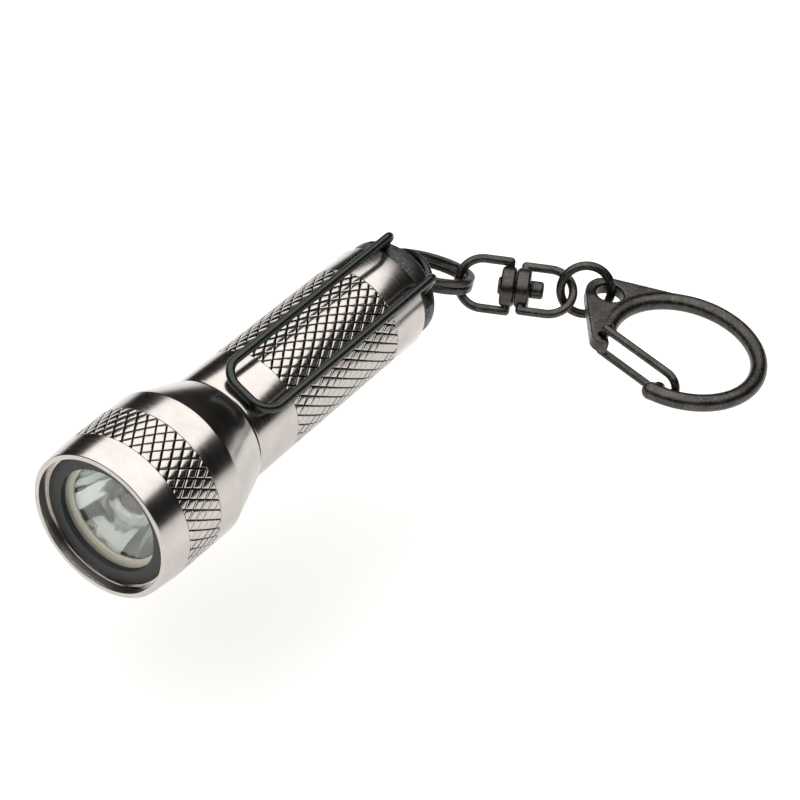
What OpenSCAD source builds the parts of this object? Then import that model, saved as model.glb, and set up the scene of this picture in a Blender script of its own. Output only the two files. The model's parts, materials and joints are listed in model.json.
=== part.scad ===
// Keychain flashlight: a screw-together metal light with a wire pocket clip, a split ring,
// a swivel, a jump ring and a spring-gate hook.
// The lens faces -Y, the tail points to +Y and +Z is up. The origin is the centre of the front rim.
// All sizes are in millimetres.

/* [Cells] */
// Diameter of one button cell
cell_d = 11.6; // [9.5:0.1:16]
// Height of one button cell
cell_h = 5.4; // [3.6:0.1:7]
// Diameter of a cell's raised negative face
cell_face_d = 9.4; // [7:0.1:9.4]
// Height of a cell's raised negative face
cell_face_h = 0.35; // [0.2:0.05:0.6]
// Radial play between the cells and their sleeve
cell_play = 0.05; // [0.03:0.01:0.1]
// Thickness of the insulating sleeve
sleeve_t = 0.2; // [0.15:0.05:0.4]
// Radial play between the sleeve and the barrel
sleeve_play = 0.05; // [0.03:0.01:0.1]

/* [Barrel] */
// Length of the barrel that shows between the head and the tail cap
barrel_len = 35.46; // [34:0.01:60]
// Thickness of the barrel's wall
barrel_wall = 1.32; // [1.1:0.01:2.5]
// Length of the threaded neck that enters the head
neck_len = 6.15; // [5:0.05:8]
// Thickness of the neck's wall
neck_wall = 0.85; // [0.75:0.05:1.2]
// Chamfer at the barrel's ends
barrel_chamfer = 0.3; // [0.1:0.05:0.5]

/* [Head] */
// Diameter of the lens disc
lens_d = 17; // [15.5:0.1:24]
// Thickness of the lens disc
lens_t = 0.8; // [0.5:0.1:1.2]
// Radial play around the lens disc
lens_play = 0.1; // [0.05:0.01:0.2]
// Thickness of the head's wall around the lens
head_wall = 1.45; // [1.2:0.05:2.5]
// How much smaller the front rim's radius is than the knurled band's
rim_taper = 0.39; // [0.1:0.01:0.6]
// How far the front recess is opened out beyond the lens seat
recess_step = 0.35; // [0.2:0.01:0.6]
// Depth of the front recess
recess_depth = 1.4; // [0.8:0.1:2]
// Length of the plain band behind the front rim
rim_band_len = 4.08; // [3:0.01:6]
// Length of the head's knurled band
head_knurl_len = 5.79; // [4:0.01:8]
// Length of the plain band behind the knurl
plain_band_len = 4.02; // [3:0.01:6]
// Length of the head's cone
cone_len = 6.78; // [5:0.01:9]
// How far the cone's small end stands out from the barrel
cone_step = 0.36; // [0.1:0.01:1]
// Gap between the head and the barrel's shoulder when the light is off
head_gap = 0.63; // [0.5:0.01:1.2]
// Radial play between the neck's thread and the head's
thread_play = 0.05; // [0.02:0.01:0.1]

/* [Lamp] */
// Diameter of the lamp's clear dome
lamp_d = 5; // [3:0.1:5]
// Length of the lamp from the dome's tip to its flange
lamp_len = 7.2; // [6:0.1:8]
// Thickness of the lamp's flange
lamp_flange_t = 1; // [0.6:0.1:1.5]
// How far the lamp's flange stands out
lamp_flange_step = 0.4; // [0.2:0.05:0.5]
// Distance between the lamp's two leads
lead_pitch = 2.54; // [2:0.01:2.54]
// Diameter of a lead
lead_d = 0.5; // [0.4:0.05:0.6]
// Radial play between the lamp and the reflector
lamp_play = 0.06; // [0.03:0.01:0.1]
// Radius of the reflector's bright mouth
bowl_mouth_r = 6.35; // [5.5:0.05:6.4]
// Depth of the reflector's bowl
bowl_depth = 8.4; // [7:0.1:8.4]
// Thickness of the reflector's wall
reflector_wall = 0.7; // [0.5:0.1:0.8]
// Thickness of the reflector's flange, the seal and the lens retainer
flange_t = 0.8; // [0.6:0.1:1.2]
// Thickness of the lens seal
seal_t = 0.4; // [0.3:0.05:0.8]
// Width of the black ring that holds the lens
retainer_w = 1.75; // [1:0.01:1.9]
// Thickness of the contact plates
contact_t = 0.3; // [0.2:0.05:0.5]
// Travel that closes the contacts when the head is turned
switch_gap = 0.45; // [0.42:0.01:0.6]

/* [Tail] */
// Length of the tail cap that shows behind the barrel
cap_len = 3.24; // [3:0.01:6]
// How much smaller the cap's radius is than the barrel's
cap_step = 0.42; // [0.2:0.01:0.6]
// Rounding of the cap's rear edge
cap_round = 0.55; // [0.3:0.05:0.7]
// Length of the plug that the cap pushes into the barrel
plug_len = 3.36; // [3:0.01:5]
// Wire thickness of the tail spring
spring_wire = 0.6; // [0.4:0.05:0.8]
// Number of turns of the tail spring
spring_turns = 4; // [3:1:6]

/* [Seals] */
// Section diameter of the neck's seal ring
neck_ring_d = 0.6; // [0.5:0.05:0.7]
// Section diameter of the plug's seal ring
plug_ring_d = 0.49; // [0.4:0.01:0.6]

/* [Key loop] */
// Wire thickness of the loop in the tail cap
loop_wire = 1.2; // [1:0.05:1.3]
// Distance between the centres of the loop's two legs
loop_pitch = 5.8; // [5.4:0.1:6.4]
// How far the loop reaches behind the cap
loop_reach = 7.9; // [7.6:0.1:10]
// Depth of the loop's legs in the cap
loop_root = 2.8; // [2:0.1:3]
// Turn of the loop about the light's axis
loop_turn = 40; // [30:1:50]

/* [Pocket clip] */
// Wire thickness of the clip
clip_wire = 1.15; // [0.9:0.05:1.3]
// Distance between the centres of the clip's legs
clip_pitch = 7.68; // [7.2:0.02:8]
// Distance from the tail's end to the clip's pivot
clip_pivot_back = 1.7; // [1.6:0.05:2]
// Height of the clip's pivot above the light's axis
clip_pivot_rise = 4.7; // [4.4:0.05:4.9]
// Height of the clip's legs above the barrel at the tail
clip_tail_lift = 1.58; // [1.3:0.02:2.5]
// Height of the clip's legs above the barrel at the front
clip_front_lift = 0.68; // [0.66:0.02:2]
// Distance from the front rim to the clip's front end
clip_front = 22.05; // [21.5:0.05:26]
// Bend radius at the clip's two front corners
clip_corner = 2.77; // [1.5:0.01:3.2]
// Bend radius where the clip turns down into the cap
clip_bend = 1.2; // [0.8:0.1:1.6]
// Length of the clip's pivot tips
clip_tip_len = 1.54; // [1:0.02:1.8]
// Turn of the clip about the light's axis
clip_turn = 31; // [20:1:40]
// Radial play around the pivot tips
clip_play = 0.075; // [0.03:0.005:0.1]

/* [Split ring] */
// Mean radius of the split ring
ring_r = 5.9; // [5.6:0.1:8]
// Width and height of one coil of the split ring
ring_coil = 1; // [0.8:0.05:1]
// Depth of the groove between the split ring's coils
ring_groove = 0.16; // [0.1:0.01:0.2]

/* [Swivel] */
// Wire thickness of the swivel's bails and of the jump ring
chain_wire = 1.2; // [1:0.05:1.3]
// Distance from the swivel's middle to each bail's outer end
bail_reach = 8.35; // [8.2:0.05:10]
// Distance between the centres of a bail's legs
bail_pitch = 6.7; // [6.4:0.1:7.2]
// Width of each hub
hub_w = 1.89; // [1.7:0.01:2.1]
// Gap between the two hubs
hub_gap = 0.12; // [0.08:0.01:0.2]
// Diameter of the swivel pin
pin_d = 1.6; // [1.2:0.1:1.8]
// Diameter of the pin's heads
pin_head_d = 2.4; // [2:0.1:2.6]
// Length of the pin's front head
pin_head_len = 1.84; // [1:0.02:2]
// Radial play of the front hub on the pin
pin_play = 0.06; // [0.03:0.01:0.1]

/* [Jump ring] */
// Mean radius of the jump ring
jump_r = 3.4; // [3.35:0.05:4.5]

/* [Hook] */
// Mean radius of the hook's round bow
bow_r = 10.17; // [10:0.01:13]
// Thickness of the hook's round rod
bow_wire = 2.3; // [2:0.05:2.4]
// Distance from the hook's eye to the bow's centre, along and across
bow_at = [13.15, 0.6];
// Thickness of the hook's flat plate
plate_t = 1.9; // [1.5:0.05:1.9]
// Radius of the hook's eye, outside
eye_r = 3.3; // [3.1:0.05:4]
// Radius of the hole in the hook's eye
eye_hole_r = 1.9; // [1.85:0.05:2.2]
// Radius of the knuckle that holds the gate
knuckle_r = 1.75; // [1.5:0.05:2.2]
// Wire thickness of the gate
gate_wire = 1.1; // [0.9:0.05:1.15]
// Distance between the centres of the gate's legs
gate_pitch = 3.7; // [3.6:0.05:4.2]
// Radial play of the gate in the knuckle
gate_play = 0.05; // [0.03:0.01:0.1]

/* [Hidden] */
$fn = 96;
cut = 1;          // how far a cutting tool runs past the surface it cuts
seat_gap = 0.02;  // gap left between pieces that are pressed or glued together
slide_gap = 0.05; // gap between a turning face and a still one

// Radii of the light's body, from the cells outwards
cell_r = cell_d / 2;
sleeve_in_r = cell_r + cell_play;
sleeve_out_r = sleeve_in_r + sleeve_t;
bore_r = sleeve_out_r + sleeve_play;
barrel_r = bore_r + barrel_wall;
neck_r = bore_r + neck_wall;
thread_r = neck_r + thread_play;
skirt_r = thread_r + 0.15;
lens_r = lens_d / 2;
lens_seat_r = lens_r + lens_play;
head_r = max(lens_seat_r, thread_r + 1.6) + head_wall;
cavity_r = lens_seat_r - 0.6;
recess_r = lens_seat_r + recess_step;
cone_r = barrel_r + cone_step;

// Places along the light's axis, from the front rim backwards
y_retainer = recess_depth;
y_lens = y_retainer + flange_t;
y_seal = y_lens + lens_t;
y_flange = y_seal + seal_t;
y_cavity = y_flange + flange_t;
y_bowl_end = y_flange + bowl_depth;
y_boss_end = y_bowl_end + 0.35;
y_lamp_flange = y_boss_end + slide_gap;
y_lamp_back = y_lamp_flange + lamp_flange_t;
y_thread = y_boss_end + 0.35;
y_holder = y_lamp_flange + 0.1;
holder_flange_t = 2.1;
y_ring_contact = y_holder + holder_flange_t;
y_neck = y_ring_contact + contact_t + switch_gap;
y_band = rim_band_len + head_knurl_len;
y_cone = y_band + plain_band_len;
y_head_end = y_cone + cone_len;
y_shoulder = y_head_end + head_gap;
y_barrel_end = y_shoulder + barrel_len;
y_end = y_barrel_end + cap_len;
y_skirt = y_head_end - 1.87;
y_neck_groove = y_head_end - 1.37;
neck_groove_w = neck_ring_d + 0.2;
y_plug = y_barrel_end - plug_len;
y_plug_groove = y_plug + 1.6;
plug_groove_w = plug_ring_d + 0.3;
plug_r = bore_r - slide_gap;

// The lamp module and the stack of cells
boss_r = lamp_d / 2 + 1.7;
lamp_hole_r = lamp_d / 2 + lamp_play;
holder_r = bore_r + 0.5;
stem_r = bore_r - 0.5;
ring_contact_in_r = stem_r + 0.1;
front_contact_t = 0.8;
front_contact_r = 2.4;
cell_count = 4;
stack_len = cell_count * cell_h;
spring_len = 7.15;
y_stack = y_plug - spring_len - stack_len;
y_front_contact = y_stack - switch_gap - front_contact_t;
stem_len = y_front_contact - y_ring_contact;
y_sleeve = y_stack - 0.65;
sleeve_len = stack_len + spring_len - 0.5;

// The clip, in its own turned frame: X across, Y along the light, Z away from it
clip_s = clip_pitch / 2;
y_clip_pivot = y_end - clip_pivot_back;
clip_tail_z = barrel_r + clip_tail_lift;
clip_front_z = barrel_r + clip_front_lift;
clip_run = y_clip_pivot - (clip_front + clip_wire / 2);
clip_slope = atan2(clip_tail_z - clip_front_z, clip_run);
slot_w = clip_wire / 2 + 0.075;

// The chain is walked link by link, so that every link hangs where the one before it ends
function turn_x(v, a) = [v.x, v.y * cos(a) - v.z * sin(a), v.y * sin(a) + v.z * cos(a)];
function turn_y(v, a) = [v.x * cos(a) + v.z * sin(a), v.y, v.z * cos(a) - v.x * sin(a)];
function turn_z(v, a) = [v.x * cos(a) - v.y * sin(a), v.x * sin(a) + v.y * cos(a), v.z];
function turned(v, att) = turn_z(turn_y(turn_x(v, att.x), att.y), att.z);
function on_circle(r, a) = [r * cos(a), r * sin(a), 0];

loop_s = loop_pitch / 2;
y_loop_arc = y_end + loop_reach - loop_wire / 2 - loop_s;
ring_att = [-18.7, 12.6, 25.6];  // roll, pitch and yaw of the split ring
ring_pass = 240.6;               // where round the split ring the key loop is threaded
ring_meet = 5.22;                // where round the split ring the swivel hangs
ring_at = [-0.09, y_end + 3.17, 0.14] - turned(on_circle(ring_r, ring_pass), ring_att);
swivel_yaw = 25.01;
swivel_pitch = 3.14;
rear_att = [61.5, swivel_pitch, swivel_yaw];
front_att = [29.5, swivel_pitch, swivel_yaw];
chain_way = turned([1, 0, 0], rear_att);
bail_play = 0.5;                 // slack between the split ring and the rear bail
jump_play = 0.46;                // slack between the front bail and the jump ring
bail_mid = bail_reach - chain_wire / 2;
ring_touch = ring_at + turned(on_circle(ring_r, ring_meet), ring_att);
rear_apex = ring_touch - (ring_coil / 2 + chain_wire / 2 + bail_play) * chain_way;
swivel_at = rear_apex + bail_mid * chain_way;
front_apex = swivel_at + bail_mid * chain_way;
bail_s = bail_pitch / 2;
hub_r = bail_s - chain_wire / 2 - 0.05;
hub_mid = hub_gap / 2 + hub_w / 2;
hub_out = hub_gap / 2 + hub_w;
jump_att = [75.5, -8.26, 34.93];
jump_at = front_apex - (chain_wire + jump_play) * chain_way + turned([jump_r, 0, 0], jump_att);
jump_meet = -20;                 // where round the jump ring the hook hangs
hook_att = [-3, 10, -13.82];
eye_shift = [0.35, -0.6, 0];     // from the wire in the eye to the eye's centre, in the hook's frame
hook_hang = jump_at + turned(on_circle(jump_r - 0.1, jump_meet), jump_att);
hook_at = hook_hang + turned(eye_shift, hook_att);

// The hook, in its own frame: the origin is the eye's centre and the plate lies in X and Y
web_r = bow_r + bow_wire / 4;    // where the plate's upper edge runs into the bow's rod
nose_angle = -72;
nose_r = bow_wire / 2 + 0.05;
bow_end_angle = 215;
bump_angle = -68;
bump_r = 1;
knuckle_angle = 225.6;
knuckle_at = bow_at + (bow_r + 0.47) * [cos(knuckle_angle), sin(knuckle_angle)];
seat_angle = -54.4;
seat_inset = 1.57;
gate_end = bow_at + (bow_r - seat_inset) * [cos(seat_angle), sin(seat_angle)];
gate_way = gate_end - knuckle_at;
gate_len = norm(gate_way);
gate_angle = atan2(gate_way.y, gate_way.x);
gate_s = gate_pitch / 2;

// Helpers
// Puts a shape drawn along Z onto the light's axis, starting at y
module along_axis(y) {
    translate([0, y, 0])
        rotate([-90, 0, 0])
            children();
}
// A turned piece: radius and distance along the light's axis, point by point
module turned_piece(points) {
    along_axis(0)
        rotate_extrude()
            polygon(points);
}
module tube(y, len, outer_r, inner_r) {
    turned_piece([[inner_r, y], [outer_r, y], [outer_r, y + len], [inner_r, y + len]]);
}
// A straight round rod from p to q
module rod(p, q, d) {
    v = q - p;
    l = norm(v);
    translate(p)
        rotate([0, acos(v.z / l), atan2(v.y, v.x)])
            cylinder(d = d, h = l, $fn = 48);
}
// Part of a wire ring in the XY plane, from one angle through a sweep
module wire_arc(r, d, start, sweep) {
    rotate([0, 0, start])
        rotate_extrude(angle = sweep)
            translate([r, 0])
                circle(d = d, $fn = 48);
}
module wire_ring(r, d) {
    rotate_extrude()
        translate([r, 0])
            circle(d = d, $fn = 48);
}
module at_swivel(att) {
    translate(swivel_at)
        rotate(att)
            children();
}
module at_hook() {
    translate(hook_at)
        rotate(hook_att)
            children();
}
module both_sides() {
    children();
    mirror([1, 0, 0])
        children();
}

// Barrel
module barrel_tube() {
    groove_r = neck_r - neck_ring_d * 0.75;
    c = barrel_chamfer;
    color("silver")
        turned_piece([
            [bore_r, y_neck], [neck_r, y_neck], [neck_r, y_neck_groove], [groove_r, y_neck_groove],
            [groove_r, y_neck_groove + neck_groove_w], [neck_r, y_neck_groove + neck_groove_w],
            [neck_r, y_shoulder], [barrel_r - c, y_shoulder], [barrel_r, y_shoulder + c],
            [barrel_r, y_barrel_end - c], [barrel_r - c, y_barrel_end], [bore_r, y_barrel_end]]);
}
module neck_o_ring() {
    groove_r = neck_r - neck_ring_d * 0.75;
    color("dimgray")
        along_axis(y_neck_groove + neck_groove_w / 2)
            wire_ring(groove_r + neck_ring_d / 2, neck_ring_d);
}
module insulating_sleeve() {
    color("ivory")
        tube(y_sleeve, sleeve_len, sleeve_out_r, sleeve_in_r);
}
// One button cell, its wide positive face to the front
module cell(k) {
    y = y_stack + (k - 1) * cell_h;
    can_h = cell_h - cell_face_h;
    color("gainsboro")
        turned_piece([
            [0, y], [cell_r - 0.3, y], [cell_r, y + 0.3], [cell_r, y + can_h], [cell_face_d / 2, y + can_h],
            [cell_face_d / 2, y + cell_h], [0, y + cell_h]]);
}

// Tail
function spring_point(t) =
    let (r = 4.6 - 2 * t, a = 360 * spring_turns * t, rise = spring_len - spring_wire)
    [r * cos(a), y_plug - spring_wire / 2 - rise * t, r * sin(a)];
// Conical spring, widest at the plug: one closed tube of eight sides swept along the coil
module tail_spring() {
    sides = 8;
    steps = 16 * spring_turns;
    points = [
        for (i = [0 : steps])
            let (t = i / steps, a = 360 * spring_turns * t, p = spring_point(t), q = spring_wire / 2)
                for (k = [0 : sides - 1])
                    let (b = 360 * k / sides)
                        p + q * [cos(b) * cos(a), sin(b), cos(b) * sin(a)]];
    faces = concat(
        [[for (k = [0 : sides - 1]) k]],
        [for (i = [0 : steps - 1])
            for (k = [0 : sides - 1])
                let (n = (k + 1) % sides)
                    [i * sides + k, (i + 1) * sides + k, (i + 1) * sides + n, i * sides + n]],
        [[for (k = [sides - 1 : -1 : 0]) steps * sides + k]]);
    color("lightsteelblue")
        polyhedron(points, faces, convexity = 6);
}
module tail_cap() {
    cap_r = barrel_r - cap_step;
    groove_r = plug_r - plug_ring_d + 0.04;
    y_groove_end = y_plug_groove + plug_groove_w;
    rounding = [for (a = [0 : 22.5 : 90])
        [cap_r - cap_round + cap_round * cos(a), y_end - cap_round + cap_round * sin(a)]];
    color([0.12, 0.12, 0.12])
        difference() {
            turned_piece(concat(
                [[0, y_plug], [plug_r, y_plug], [plug_r, y_plug_groove], [groove_r, y_plug_groove],
                    [groove_r, y_groove_end], [plug_r, y_groove_end], [plug_r, y_barrel_end],
                    [cap_r, y_barrel_end]],
                rounding,
                [[0, y_end]]));
            rotate([0, loop_turn, 0])
                both_sides()
                    translate([loop_s, 0, 0])
                        along_axis(y_end - loop_root - 0.1)
                            cylinder(d = loop_wire + seat_gap, h = loop_root + cut, $fn = 48);
            rotate([0, clip_turn, 0])
                both_sides() {
                    translate([clip_s - slot_w, y_clip_pivot - slot_w - 0.03, clip_pivot_rise - 0.7])
                        cube([barrel_r, 2 * slot_w + 0.33, barrel_r]);
                    translate([clip_s - clip_tip_len - 0.6, y_clip_pivot, clip_pivot_rise])
                        rotate([0, 90, 0])
                            cylinder(r = clip_wire / 2 + clip_play, h = clip_tip_len, $fn = 48);
                }
        }
}
module tail_o_ring() {
    color("dimgray")
        along_axis(y_plug_groove + plug_groove_w / 2)
            wire_ring(plug_r + 0.04 - plug_ring_d / 2, plug_ring_d);
}
module key_loop() {
    color([0.2, 0.2, 0.2])
        rotate([0, loop_turn, 0]) {
            both_sides()
                rod([loop_s, y_end - loop_root, 0], [loop_s, y_loop_arc, 0], loop_wire);
            translate([0, y_loop_arc, 0])
                wire_arc(loop_s, loop_wire, 0, 180);
        }
}

// Head
module head_shell() {
    c = 0.25;
    color("silver")
        turned_piece([
            [recess_r, 0], [head_r - rim_taper - c, 0], [head_r - rim_taper, c], [head_r, rim_band_len],
            [head_r, y_cone], [cone_r, y_head_end], [skirt_r, y_head_end], [skirt_r, y_skirt],
            [thread_r, y_skirt], [thread_r, y_thread], [cavity_r, y_thread], [cavity_r, y_cavity],
            [lens_seat_r, y_cavity], [lens_seat_r, y_retainer], [recess_r, y_retainer]]);
}
module lens_retainer() {
    color([0.1, 0.1, 0.1])
        tube(y_retainer, flange_t, lens_seat_r - seat_gap, lens_seat_r - seat_gap - retainer_w);
}
module lens() {
    color("lightcyan", 0.4)
        tube(y_lens, lens_t, lens_r, 0);
}
module lens_seal() {
    color("ivory")
        tube(y_seal, seal_t, lens_r, bowl_mouth_r);
}
// Radius of the reflector's bright surface at y: a parabola from the mouth to the lamp
function bowl_r(y) =
    let (end_r = lamp_hole_r + 0.04, k = (bowl_mouth_r * bowl_mouth_r - end_r * end_r) / bowl_depth)
    sqrt(end_r * end_r + k * (y_bowl_end - y));
module reflector() {
    steps = 14;
    dy = (bowl_depth - flange_t) / steps;
    inner = [for (i = [0 : steps]) let (y = y_bowl_end - i * dy) [bowl_r(y), y]];
    outer = [for (i = [0 : steps]) let (y = y_cavity + i * dy) [max(boss_r, bowl_r(y) + reflector_wall), y]];
    color("whitesmoke")
        turned_piece(concat(
            [[lamp_hole_r, y_bowl_end]],
            inner,
            [[bowl_mouth_r, y_flange], [lens_r, y_flange], [lens_r, y_cavity]],
            outer,
            [[boss_r, y_boss_end], [lamp_hole_r, y_boss_end]]));
}

// Lamp module
module led_lamp() {
    r = lamp_d / 2;
    y_dome = y_lamp_flange - lamp_len + r;
    dome = [for (a = [0 : 10 : 90]) [r * sin(a), y_dome - r * cos(a)]];
    color("lightyellow", 0.6)
        turned_piece(concat(
            dome,
            [[r, y_lamp_flange], [r + lamp_flange_step, y_lamp_flange], [r + lamp_flange_step, y_lamp_back],
                [0, y_lamp_back]]));
}
// Two leads: one runs straight back to the front contact, the other turns out to the ring contact
module led_leads() {
    x = lead_pitch / 2;
    y_turn = y_ring_contact - 0.4;
    x_out = (ring_contact_in_r + holder_r) / 2;
    color("lightgray") {
        rod([x, y_lamp_back, 0], [x, y_front_contact, 0], lead_d);
        rod([-x, y_lamp_back, 0], [-x, y_turn, 0], lead_d);
        rod([-x, y_turn, 0], [-x_out, y_turn, 0], lead_d);
        rod([-x_out, y_turn, 0], [-x_out, y_ring_contact, 0], lead_d);
        for (corner = [-x, -x_out])
            translate([corner, y_turn, 0])
                sphere(d = lead_d, $fn = 48);
    }
}
module lamp_holder() {
    x = lead_pitch / 2;
    hole_d = lead_d + 0.04;
    y_turn = y_ring_contact - 0.4;
    x_out = (ring_contact_in_r + holder_r) / 2;
    pocket_r = lamp_d / 2 + lamp_flange_step + slide_gap;
    color("tan")
        difference() {
            turned_piece([
                [pocket_r, y_holder], [holder_r, y_holder], [holder_r, y_ring_contact],
                [stem_r, y_ring_contact], [stem_r, y_front_contact], [0, y_front_contact],
                [0, y_lamp_back], [pocket_r, y_lamp_back]]);
            rod([x, y_lamp_back - cut, 0], [x, y_front_contact + cut, 0], hole_d);
            rod([-x, y_lamp_back - cut, 0], [-x, y_turn, 0], hole_d);
            rod([-x, y_turn, 0], [-x_out, y_turn, 0], hole_d);
            rod([-x_out, y_turn, 0], [-x_out, y_ring_contact + cut, 0], hole_d);
            for (corner = [-x, -x_out])
                translate([corner, y_turn, 0])
                    sphere(d = hole_d, $fn = 48);
        }
}
module front_contact() {
    color("goldenrod")
        tube(y_front_contact, front_contact_t, front_contact_r, 0);
}
module ring_contact() {
    color("goldenrod")
        tube(y_ring_contact, contact_t, holder_r, ring_contact_in_r);
}

// Pocket clip: one bent wire with its two ends turned into the tail cap.
// It is drawn from its pivot, with its legs level, and then tipped down to the front.
module wire_clip() {
    d = clip_wire;
    b = clip_bend;
    height = clip_tail_z - clip_pivot_rise;
    run = (clip_run - height * sin(clip_slope)) / cos(clip_slope) - clip_corner;
    color([0.13, 0.13, 0.13])
        rotate([0, clip_turn, 0])
            translate([0, y_clip_pivot, clip_pivot_rise])
                rotate([clip_slope, 0, 0]) {
                    both_sides() {
                        rod([clip_s - clip_tip_len, 0, 0], [clip_s, 0, 0], d);
                        translate([clip_s, 0, 0])
                            sphere(d = d, $fn = 48);
                        rod([clip_s, 0, 0], [clip_s, 0, height - b], d);
                        translate([clip_s, -b, height - b])
                            rotate([90, 0, 90])
                                wire_arc(b, d, 0, 90);
                        rod([clip_s, -run, height], [clip_s, -b, height], d);
                        translate([clip_s - clip_corner, -run, height])
                            wire_arc(clip_corner, d, -90, 90);
                    }
                    rod([clip_corner - clip_s, -run - clip_corner, height],
                        [clip_s - clip_corner, -run - clip_corner, height], d);
                }
}

// Chain
// Two coils side by side, with a groove where they meet
module split_ring() {
    w = ring_coil / 2;
    h = ring_coil;
    g = ring_groove;
    outer = [[w - g, -h], [w, g - h], [w, -g], [w - g, 0], [w, g], [w, h - g], [w - g, h]];
    inner = [[g - w, h], [-w, h - g], [-w, g], [g - w, 0], [-w, -g], [-w, g - h], [g - w, -h]];
    color([0.35, 0.33, 0.31])
        translate(ring_at)
            rotate(ring_att)
                rotate_extrude()
                    translate([ring_r, 0])
                        polygon(concat(outer, inner));
}
// A bail: a wire loop whose ends turn in towards the hub
module bail() {
    arc_x = bail_mid - bail_s;
    for (side = [-1, 1]) {
        rod([hub_mid, side * bail_s, 0], [arc_x, side * bail_s, 0], chain_wire);
        translate([hub_mid, side * bail_s, 0])
            sphere(d = chain_wire, $fn = 48);
        rod([hub_mid, side * (pin_d / 2 + 1.1), 0], [hub_mid, side * bail_s, 0], chain_wire);
    }
    translate([arc_x, 0, 0])
        wire_arc(bail_s, chain_wire, -90, 180);
}
// A hub: a short drum with a bore for the pin and two side holes for a bail's ends
module hub(bore_r) {
    c = 0.25;
    difference() {
        rotate([0, 90, 0])
            rotate_extrude()
                polygon([
                    [bore_r, hub_gap / 2], [hub_r - c, hub_gap / 2], [hub_r, hub_gap / 2 + c],
                    [hub_r, hub_out - c], [hub_r - c, hub_out], [bore_r, hub_out]]);
        for (side = [-1, 1])
            rod([hub_mid, side * (pin_d / 2 + 1), 0], [hub_mid, side * (hub_r + cut), 0],
                chain_wire + seat_gap);
    }
}
module rear_bail() {
    color([0.35, 0.33, 0.31])
        at_swivel(rear_att)
            rotate([0, 0, 180])
                bail();
}
module rear_hub() {
    color([0.32, 0.3, 0.28])
        at_swivel(rear_att)
            rotate([0, 0, 180])
                hub(pin_d / 2 + seat_gap / 2);
}
module swivel_pin() {
    color([0.4, 0.38, 0.36])
        at_swivel(rear_att)
            rotate([0, 90, 0])
                rotate_extrude()
                    polygon([
                        [0, -hub_out - 0.4], [pin_head_d / 2 - 0.15, -hub_out - 0.4],
                        [pin_head_d / 2, -hub_out - 0.25], [pin_head_d / 2, -hub_out],
                        [pin_d / 2, -hub_out], [pin_d / 2, hub_out + slide_gap],
                        [pin_head_d / 2, hub_out + slide_gap],
                        [pin_head_d / 2, hub_out + pin_head_len - 0.25],
                        [pin_head_d / 2 - 0.25, hub_out + pin_head_len], [0, hub_out + pin_head_len]]);
}
module front_hub() {
    color([0.32, 0.3, 0.28])
        at_swivel(front_att)
            hub(pin_d / 2 + pin_play);
}
module front_bail() {
    color([0.35, 0.33, 0.31])
        at_swivel(front_att)
            bail();
}
module jump_ring() {
    color([0.35, 0.33, 0.31])
        translate(jump_at)
            rotate(jump_att)
                wire_ring(jump_r, chain_wire);
}

// Hook
// Outline of the flat plate: the eye, the knuckle and the web between them and the bow
module plate_outline() {
    bow_way = atan2(bow_at.y, bow_at.x);
    top = bow_way + acos((eye_r - web_r) / norm(bow_at));
    knuckle_way = atan2(knuckle_at.y, knuckle_at.x);
    low = knuckle_way - acos((eye_r - knuckle_r) / norm(knuckle_at));
    top_dir = [cos(top), sin(top)];
    low_dir = [cos(low), sin(low)];
    difference() {
        union() {
            circle(r = eye_r);
            translate(knuckle_at)
                circle(r = knuckle_r);
            polygon([eye_r * top_dir, bow_at + web_r * top_dir, bow_at, knuckle_at,
                knuckle_at + knuckle_r * low_dir, eye_r * low_dir]);
        }
        translate(bow_at)
            circle(r = bow_r);
        circle(r = eye_hole_r);
    }
}
module hook_body() {
    color([0.35, 0.33, 0.31])
        at_hook()
            difference() {
                union() {
                    translate([0, 0, -plate_t / 2])
                        linear_extrude(plate_t)
                            plate_outline();
                    translate([bow_at.x, bow_at.y, 0]) {
                        wire_arc(bow_r, bow_wire, nose_angle, bow_end_angle - nose_angle);
                        translate(on_circle(bow_r, nose_angle))
                            sphere(r = nose_r, $fn = 48);
                        translate(on_circle(bow_r - 0.95, bump_angle))
                            sphere(r = bump_r, $fn = 48);
                    }
                }
                translate([knuckle_at.x, knuckle_at.y, -bow_wire])
                    cylinder(r = gate_wire / 2 + gate_play, h = 2 * bow_wire, $fn = 48);
                translate([gate_end.x, gate_end.y, -bow_wire])
                    cylinder(r = gate_wire / 2 + 0.15, h = 2 * bow_wire, $fn = 48);
            }
}
// Gate: a bent wire whose two ends turn into the knuckle
module hook_gate() {
    d = gate_wire;
    color([0.35, 0.33, 0.31])
        at_hook()
            translate([knuckle_at.x, knuckle_at.y, 0])
                rotate([0, 0, gate_angle]) {
                    for (side = [-1, 1]) {
                        rod([0, 0, side * 0.2], [0, 0, side * gate_s], d);
                        translate([0, 0, side * gate_s])
                            sphere(d = d, $fn = 48);
                        rod([0, 0, side * gate_s], [gate_len - gate_s, 0, side * gate_s], d);
                    }
                    translate([gate_len - gate_s, 0, 0])
                        rotate([90, 0, 0])
                            wire_arc(gate_s, d, -90, 180);
                }
}

barrel_tube();
neck_o_ring();
insulating_sleeve();
cell(1);  // cell_1
cell(2);  // cell_2
cell(3);  // cell_3
cell(4);  // cell_4
tail_spring();
tail_cap();
tail_o_ring();
key_loop();
head_shell();
lens_retainer();
lens();
lens_seal();
reflector();
led_lamp();
led_leads();
lamp_holder();
front_contact();
ring_contact();
wire_clip();
split_ring();
rear_bail();
rear_hub();
swivel_pin();
front_hub();
front_bail();
jump_ring();
hook_body();
hook_gate();
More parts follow.
